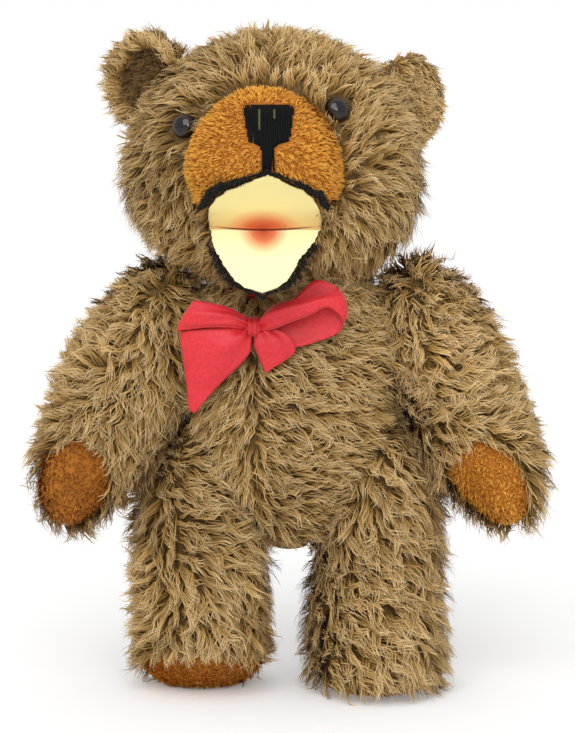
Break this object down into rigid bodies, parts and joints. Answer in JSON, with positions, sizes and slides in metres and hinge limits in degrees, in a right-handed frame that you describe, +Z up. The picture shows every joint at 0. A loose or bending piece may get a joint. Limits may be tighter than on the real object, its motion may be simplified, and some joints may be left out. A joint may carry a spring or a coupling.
{
  "type": "jointed plush bear",
  "caption": "Long-pile plush bear with an open mouth, stitched nose, short-pile muzzle, paws and soles, disc-jointed neck and limbs, and a ribbon bow.",
  "frame": {"origin": "on the floor under the middle of the bear's overall box", "axes": "+Z up, -Y the way the bear faces, +X the bear's own left"},
  "size_m": [0.3056, 0.1814, 0.4118],
  "materials": {
    "black_yarn": "matt black stitching",
    "cream_velour": "short cream velour, sprayed orange-red at the fold",
    "eye_glass": "glossy dark brown",
    "gold_pile": "short gold plush",
    "hardboard": "bare brown hardboard",
    "long_pile": "curly long-pile plush, brown with paler tips",
    "red_ribbon": "plain woven cotton ribbon",
    "steel": "plain zinc-grey steel"
  },
  "bodies": {
    "trunk": {"torso": "long_pile", "neck_ribbon": "red_ribbon", "neck_body_disc": "hardboard", "neck_body_washer": "steel", "shoulder_left_body_disc": "hardboard", "shoulder_left_body_washer": "steel", "shoulder_right_body_disc": "hardboard", "shoulder_right_body_washer": "steel", "hip_left_body_disc": "hardboard", "hip_left_body_washer": "steel", "hip_right_body_disc": "hardboard", "hip_right_body_washer": "steel"},
    "head": {"head": "long_pile", "muzzle": "gold_pile", "mouth_lining": "cream_velour", "upper_lip": "black_yarn", "lower_lip": "black_yarn", "nose": "black_yarn", "eye_left": "eye_glass", "eye_right": "eye_glass", "ear_left": "long_pile", "ear_right": "long_pile", "neck_limb_disc": "hardboard", "neck_limb_washer": "steel", "neck_pin": "steel"},
    "arm_left": {"arm_left": "long_pile", "paw_pad_left": "gold_pile", "shoulder_left_limb_disc": "hardboard", "shoulder_left_limb_washer": "steel", "shoulder_left_pin": "steel"},
    "leg_left": {"leg_left": "long_pile", "foot_pad_left": "gold_pile", "hip_left_limb_disc": "hardboard", "hip_left_limb_washer": "steel", "hip_left_pin": "steel"},
    "arm_right": {"arm_right": "long_pile", "paw_pad_right": "gold_pile", "shoulder_right_limb_disc": "hardboard", "shoulder_right_limb_washer": "steel", "shoulder_right_pin": "steel"},
    "leg_right": {"leg_right": "long_pile", "foot_pad_right": "gold_pile", "hip_right_limb_disc": "hardboard", "hip_right_limb_washer": "steel", "hip_right_pin": "steel"}
  },
  "joints": [
    {"name": "neck_turn", "type": "hinge", "parent": "trunk", "child": "head", "pos_m": [0.00107, 0.02245, 0.262], "axis": [0, 0, 1], "range_deg": [-30, 30]},
    {"name": "shoulder_left", "type": "hinge", "parent": "trunk", "child": "arm_left", "pos_m": [0.06107, 0.02245, 0.228], "axis": [-0.9903, 0, -0.1392], "range_deg": [-45, 80]},
    {"name": "shoulder_right", "type": "hinge", "parent": "trunk", "child": "arm_right", "pos_m": [-0.05893, 0.02245, 0.228], "axis": [-0.9903, 0, 0.1392], "range_deg": [-45, 80]},
    {"name": "hip_left", "type": "hinge", "parent": "trunk", "child": "leg_left", "pos_m": [0.03907, 0.02245, 0.14], "axis": [-0.8829, 0, 0.4695], "range_deg": [-20, 75]},
    {"name": "hip_right", "type": "hinge", "parent": "trunk", "child": "leg_right", "pos_m": [-0.03693, 0.02245, 0.14], "axis": [-0.8829, 0, -0.4695], "range_deg": [-20, 75]}
  ]
}
